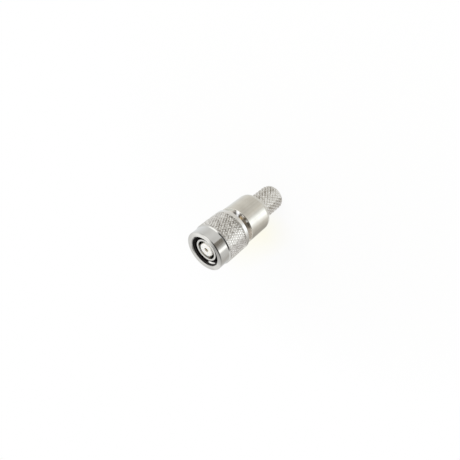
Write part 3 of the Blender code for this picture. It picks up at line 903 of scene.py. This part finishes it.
def make_contact(sizes, finishes):
    """Centre contact: wire barrel with a sight hole, shaft and a socket slit into four tines."""
    low, mouth = CONTACT_LOW.z, CONTACT_HIGH.z
    barrel = CONTACT_HIGH.x
    edge = sizes.contact_edge
    socket, bore = sizes.socket_radius, sizes.socket_bore
    shaft = sizes.shaft_radius
    outline = rounded(
        [(0, mouth - sizes.socket_depth, 0), (bore, mouth - sizes.socket_depth, 0), (bore, mouth, edge),
         (socket, mouth, edge), (socket, sizes.shaft_high, 0), (shaft, sizes.shaft_high, edge),
         (shaft, sizes.shaft_low, 0), (barrel, sizes.shaft_low, edge), (barrel, low, edge),
         (sizes.wire_bore, low, edge), (sizes.wire_bore, low + sizes.wire_depth, 0),
         (0, low + sizes.wire_depth, 0)]
    )
    contact = skin("socket_contact", [turned_grid(outline, COLUMNS_COARSE)], closed=False)
    long_cut = 4 * socket
    height = sizes.slot_length + sizes.slot_width
    centre = (0, 0, mouth - sizes.slot_length / 2 + sizes.slot_width / 2)
    cut_boxes(
        contact,
        [((long_cut, sizes.slot_width, height), centre), ((sizes.slot_width, long_cut, height), centre)],
    )
    bpy.ops.mesh.primitive_cylinder_add(
        vertices=32, radius=sizes.sight_hole, depth=2 * barrel, rotation=(0, math.pi / 2, 0),
        location=(barrel, 0, low + sizes.wire_depth - 2 * sizes.sight_hole),
    )
    cut_out(contact, [bpy.context.object])
    material = plain_metal("contact_gold", finishes.gold, 0.35)
    dress(contact, "plug", "centre_contact", material)


def make_ring(sizes, finishes):
    """Split retaining ring, half in the nut's groove and half in the body's."""
    outer, low, high = RING_HIGH.x, RING_LOW.z, RING_HIGH.z
    inner = sizes.ring_bore
    thickness = high - low
    edge = thickness / 6
    ring = ring_piece("spring_ring", inner, outer, low, high, edge, edge, COLUMNS_FINE)
    split = (sizes.ring_split, 2 * (outer - inner), 3 * thickness)
    cut_boxes(ring, [(split, (0, -(outer + inner) / 2, (low + high) / 2))])
    material = plain_metal("spring_brass", finishes.brass, 0.28)
    dress(ring, "ring", "retaining_ring", material)


def make_gasket(sizes, finishes):
    """Seal round the sleeve, on the spigot's front shoulder."""
    outer, low, high = GASKET_HIGH.x, GASKET_LOW.z, GASKET_HIGH.z
    inner = SLEEVE_HIGH.x + sizes.seat_gap
    edge = (high - low) / 3
    gasket = ring_piece("sealing_ring", inner, outer, low, high, edge, edge / 2, COLUMNS_MIDDLE)
    dress(gasket, "plug", "gasket", silicone_rubber("gasket_silicone", finishes.silicone))


def make_camera(stage):
    """Camera that sees the plug as the picture does, from the nut's place and the axis's slope."""
    slope, lean, turn = stage.axis_slope, stage.axis_lean, stage.front_turn
    away = Vector((math.cos(slope) * math.cos(lean), math.sin(slope) * math.cos(lean), -math.sin(lean)))
    towards = Vector((math.cos(slope) * math.sin(lean), math.sin(slope) * math.sin(lean), math.cos(lean)))
    across = Vector((math.sin(slope), -math.cos(slope), 0))
    up = -away
    front = math.cos(turn) * towards + math.sin(turn) * across
    seen = Matrix((front, up.cross(front), up)).transposed()
    middle = stage.frame_pixels / 2
    scale = stage.nut_front_distance / stage.focal_pixels
    right, rise = (stage.nut_front_x - middle) * scale, (middle - stage.nut_front_y) * scale
    origin = Vector((right, rise, -stage.nut_front_distance)) - up * NUT_HIGH.z
    placed = (Matrix.Translation(origin) @ seen.to_4x4()).inverted()
    data = bpy.data.cameras.new("camera")
    data.lens = stage.focal_pixels / stage.frame_pixels * data.sensor_width
    data.clip_start = stage.nut_front_distance / 100
    camera = bpy.data.objects.new("camera", data)
    camera.matrix_world = placed
    bpy.context.scene.collection.objects.link(camera)
    bpy.context.scene.camera = camera
    return placed.translation


def backdrop_mask(sheet):
    """One where a ray from the camera, a reflection or a refraction sees the backdrop."""
    mask = None
    for ray in ("Is Camera Ray", "Is Glossy Ray", "Is Transmission Ray"):
        seen = sheet.add("ShaderNodeLightPath", output=ray)
        mask = seen if mask is None else mask + seen
    return sheet.clamp(mask)


def make_world(stage):
    """White backdrop, with a plain level of light for everything else."""
    world = bpy.data.worlds.new("studio")
    bpy.context.scene.world = world
    sheet = Sheet(world)
    colour = sheet.mix(backdrop_mask(sheet), grey(stage.ambient), WHITE)
    background = sheet.add("ShaderNodeBackground", None, {"Color": colour}, output="Background")
    sheet.output("ShaderNodeOutputWorld", background)


def make_floor(stage):
    """Pale floor that keeps a faint shadow and a painted cream glow of reflected light beside the plug."""
    bpy.ops.mesh.primitive_circle_add(vertices=FLOOR_CORNERS, radius=stage.floor_radius, fill_type="NGON")
    floor = bpy.context.object
    floor.name = "floor"
    material, sheet = new_material("floor_white")
    _, x, y, _, distance = sheet.place()
    # The painted cream glow of reflected light lies beside the plug, and the paper turns plain white
    # further out.
    beside = sheet.between(y, *PAINTED_GLOW_ACROSS) * sheet.between(x, *PAINTED_GLOW_ALONG)
    paper = sheet.mix(beside, WHITE, PAINTED_GLOW_CREAM)
    lit = sheet.add("ShaderNodeBsdfDiffuse", None, {"Color": PAPER})
    white = sheet.add("ShaderNodeEmission", None, {"Color": paper})
    far = sheet.clamp(distance, *FLOOR_FADE)
    share = backdrop_mask(sheet) * (0.9 + far * 0.1)
    mixed = sheet.add("ShaderNodeMixShader", None, {0: share, 1: lit, 2: white})
    sheet.output("ShaderNodeOutputMaterial", mixed)
    floor.data.materials.append(material)


def only_reflected(obj, name, paint):
    """A glowing card that is seen in the metal only, and lights and shades nothing."""
    obj.name = name
    material, sheet = new_material(name)
    shade, strength = paint(sheet, *sheet.place()[1:])
    glow = sheet.add("ShaderNodeEmission", None, {"Color": shade, "Strength": strength})
    sheet.output("ShaderNodeOutputMaterial", glow)
    obj.data.materials.append(material)
    obj.visible_camera = False
    obj.visible_diffuse = False
    obj.visible_shadow = False
    obj.visible_transmission = False
    material.cycles.emission_sampling = "NONE"


# Greys for the metal to reflect, by bearing.
FLOOR_CARD = stops(
    [(-180, 0.70, -0.03), (-130, 0.62, -0.03), (-86, 0.54, 0.02), (-60, 0.48, 0.03), (-21, 0.44, 0.03),
     (0, 0.53, 0.03), (11, 0.56), (20, 0.80, -0.04), (30, 1.0, -0.05), (44, 1.0, -0.05),
     (56, 0.78, -0.02), (68, 0.55, 0.02), (86, 0.40, 0.04), (106, 0.31, 0.05), (122, 0.28, 0.05),
     (142, 0.36, 0.05), (162, 0.50, 0.05), (180, 0.70, -0.03)]
)
COLLAR_CARD = stops(
    [(-180, 0.57, -0.03), (-120, 0.61, -0.03), (-70, 0.48), (-46, 0.53), (-12, 0.47), (-2, 0.47),
     (1, 0.16, 0.12), (12, 0.13, 0.12), (24, 0.24, 0.06), (36, 0.50), (42, 0.95), (50, 1.0), (58, 0.52),
     (70, 0.48), (104, 0.35, 0.04), (180, 0.57, -0.03)]
)
WINDOW = stops(
    [(-180, 0.65), (-105, 0.65), (-85, 1.0), (-45, 1.0), (-25, 0.05), (80, 0.05), (110, 0.65), (180, 0.65)]
)


def make_cards(stage, camera_place):
    """Grey and white cards round the plug that give its metal something to reflect."""
    turn = (0, 0, math.atan2(camera_place.y, camera_place.x))
    size = stage.dome_radius

    def card_greys(sheet, x, y, z, distance):
        """Greys near the plug by bearing, others further out, and an even grey at its foot."""
        around = sheet.bearing(x, y)
        foot = sheet.clamp(distance, CARD_FOOT + CARD_FOOT_BLEND, CARD_FOOT)
        near = sheet.mix(foot, sheet.ramp(around, FLOOR_CARD), grey(0.54))
        far = sheet.clamp(distance, CARD_SPLIT, CARD_SPLIT + CARD_BLEND)
        return sheet.mix(far, near, sheet.ramp(around, COLLAR_CARD)), CARD_LIGHT

    bpy.ops.mesh.primitive_circle_add(
        vertices=FLOOR_CORNERS, radius=size, fill_type="NGON", location=(0, 0, CARD_LIFT), rotation=turn
    )
    only_reflected(bpy.context.object, "floor_card", card_greys)

    def tent_greys(sheet, x, y, z, distance):
        """A band of windows round a plain tent. Heights are shares of the tent's radius."""
        window = sheet.ramp(sheet.bearing(x, y), WINDOW)
        height = z / size
        band = sheet.between(height, *TENT_WINDOWS)
        plain = sheet.mix(sheet.clamp(height, *TENT_BASE), grey(0.63), grey(0.85))
        return sheet.mix(band, plain, window), TENT_LIGHT

    bpy.ops.mesh.primitive_uv_sphere_add(segments=64, ring_count=32, radius=size, rotation=turn)
    only_reflected(bpy.context.object, "light_tent", tent_greys)


def make_lamp(stage, camera_place):
    """One large soft lamp on the camera's left."""
    turn = math.atan2(camera_place.y, camera_place.x) + stage.lamp_turn
    level, height = math.cos(stage.lamp_rise), math.sin(stage.lamp_rise)
    target = Vector((0, 0, NUT_HIGH.z / 2))
    aim = Vector((math.cos(turn) * level, math.sin(turn) * level, height))
    place = target + stage.lamp_distance * aim
    data = bpy.data.lights.new("soft_lamp", "AREA")
    data.shape = "DISK"
    data.size = stage.lamp_width
    data.energy = stage.lamp_power
    lamp = bpy.data.objects.new("soft_lamp", data)
    lamp.visible_glossy = False
    lamp.location = place
    lamp.rotation_euler = (target - place).to_track_quat("-Z", "Y").to_euler()
    bpy.context.scene.collection.objects.link(lamp)


class PLUG_OT_nut(bpy.types.Operator):
    """Make the coupling nut with its collar, knurl and thread"""

    bl_idname = "plug.nut"
    bl_label = "Coupling nut"

    def execute(self, context):
        """Build the nut."""
        make_nut(context.scene.plug_nut, context.scene.plug_finishes)
        return {"FINISHED"}


class PLUG_OT_body(bpy.types.Operator):
    """Make the turned body with its knurled neck"""

    bl_idname = "plug.body"
    bl_label = "Turned body"

    def execute(self, context):
        """Build the body."""
        make_body(context.scene.plug_body, context.scene.plug_finishes)
        return {"FINISHED"}


class PLUG_OT_sleeve(bpy.types.Operator):
    """Make the outer contact sleeve"""

    bl_idname = "plug.sleeve"
    bl_label = "Contact sleeve"

    def execute(self, context):
        """Build the sleeve."""
        make_sleeve(context.scene.plug_inner, context.scene.plug_finishes)
        return {"FINISHED"}


class PLUG_OT_insulators(bpy.types.Operator):
    """Make the dielectric nose and the cable bead"""

    bl_idname = "plug.insulators"
    bl_label = "Insulators"

    def execute(self, context):
        """Build both insulators."""
        make_nose(context.scene.plug_inner, context.scene.plug_finishes)
        make_bead(context.scene.plug_inner, context.scene.plug_finishes)
        return {"FINISHED"}


class PLUG_OT_contact(bpy.types.Operator):
    """Make the gold-plated centre contact"""

    bl_idname = "plug.contact"
    bl_label = "Centre contact"

    def execute(self, context):
        """Build the contact."""
        make_contact(context.scene.plug_inner, context.scene.plug_finishes)
        return {"FINISHED"}


class PLUG_OT_rings(bpy.types.Operator):
    """Make the split retaining ring and the gasket"""

    bl_idname = "plug.rings"
    bl_label = "Ring and gasket"

    def execute(self, context):
        """Build the ring and the gasket."""
        make_ring(context.scene.plug_inner, context.scene.plug_finishes)
        make_gasket(context.scene.plug_inner, context.scene.plug_finishes)
        return {"FINISHED"}


class PLUG_OT_stage(bpy.types.Operator):
    """Make the camera, the white floor and world, the cards and the lamp"""

    bl_idname = "plug.stage"
    bl_label = "Stage"

    def execute(self, context):
        """Build the stage."""
        stage = context.scene.plug_stage
        camera_place = make_camera(stage)
        make_world(stage)
        make_floor(stage)
        make_cards(stage, camera_place)
        make_lamp(stage, camera_place)
        context.scene.view_settings.view_transform = "Standard"
        return {"FINISHED"}


STEPS = ("nut", "body", "sleeve", "insulators", "contact", "rings", "stage")
GROUPS = {
    "plug_nut": NutSizes,
    "plug_body": BodySizes,
    "plug_inner": InnerSizes,
    "plug_finishes": Finishes,
    "plug_stage": StageSettings,
}
OPERATORS = (
    PLUG_OT_nut, PLUG_OT_body, PLUG_OT_sleeve, PLUG_OT_insulators, PLUG_OT_contact, PLUG_OT_rings,
    PLUG_OT_stage,
)


class PLUG_PT_sidebar(bpy.types.Panel):
    """Lists the plug's pieces and their sizes"""

    bl_idname = "PLUG_PT_sidebar"
    bl_label = "Coaxial plug"
    bl_space_type = "VIEW_3D"
    bl_region_type = "UI"
    bl_category = "Plug"

    def draw(self, context):
        """Draw a button for each operator, and each group's values below."""
        for operator in OPERATORS:
            self.layout.operator(operator.bl_idname)
        for name, group in GROUPS.items():
            box = self.layout.box()
            for value in group.__annotations__:
                box.prop(getattr(context.scene, name), value)


def register():
    """Register the groups, the operators and the panel."""
    for name, group in GROUPS.items():
        bpy.utils.register_class(group)
        setattr(bpy.types.Scene, name, PointerProperty(type=group))
    for operator in OPERATORS:
        bpy.utils.register_class(operator)
    bpy.utils.register_class(PLUG_PT_sidebar)


def unregister():
    """Undo what register did."""
    bpy.utils.unregister_class(PLUG_PT_sidebar)
    for operator in OPERATORS:
        bpy.utils.unregister_class(operator)
    for name, group in GROUPS.items():
        delattr(bpy.types.Scene, name)
        bpy.utils.unregister_class(group)


def main():
    """Make every piece and the stage."""
    register()
    for step in STEPS:
        getattr(bpy.ops.plug, step)()


if __name__ == "__main__":
    main()
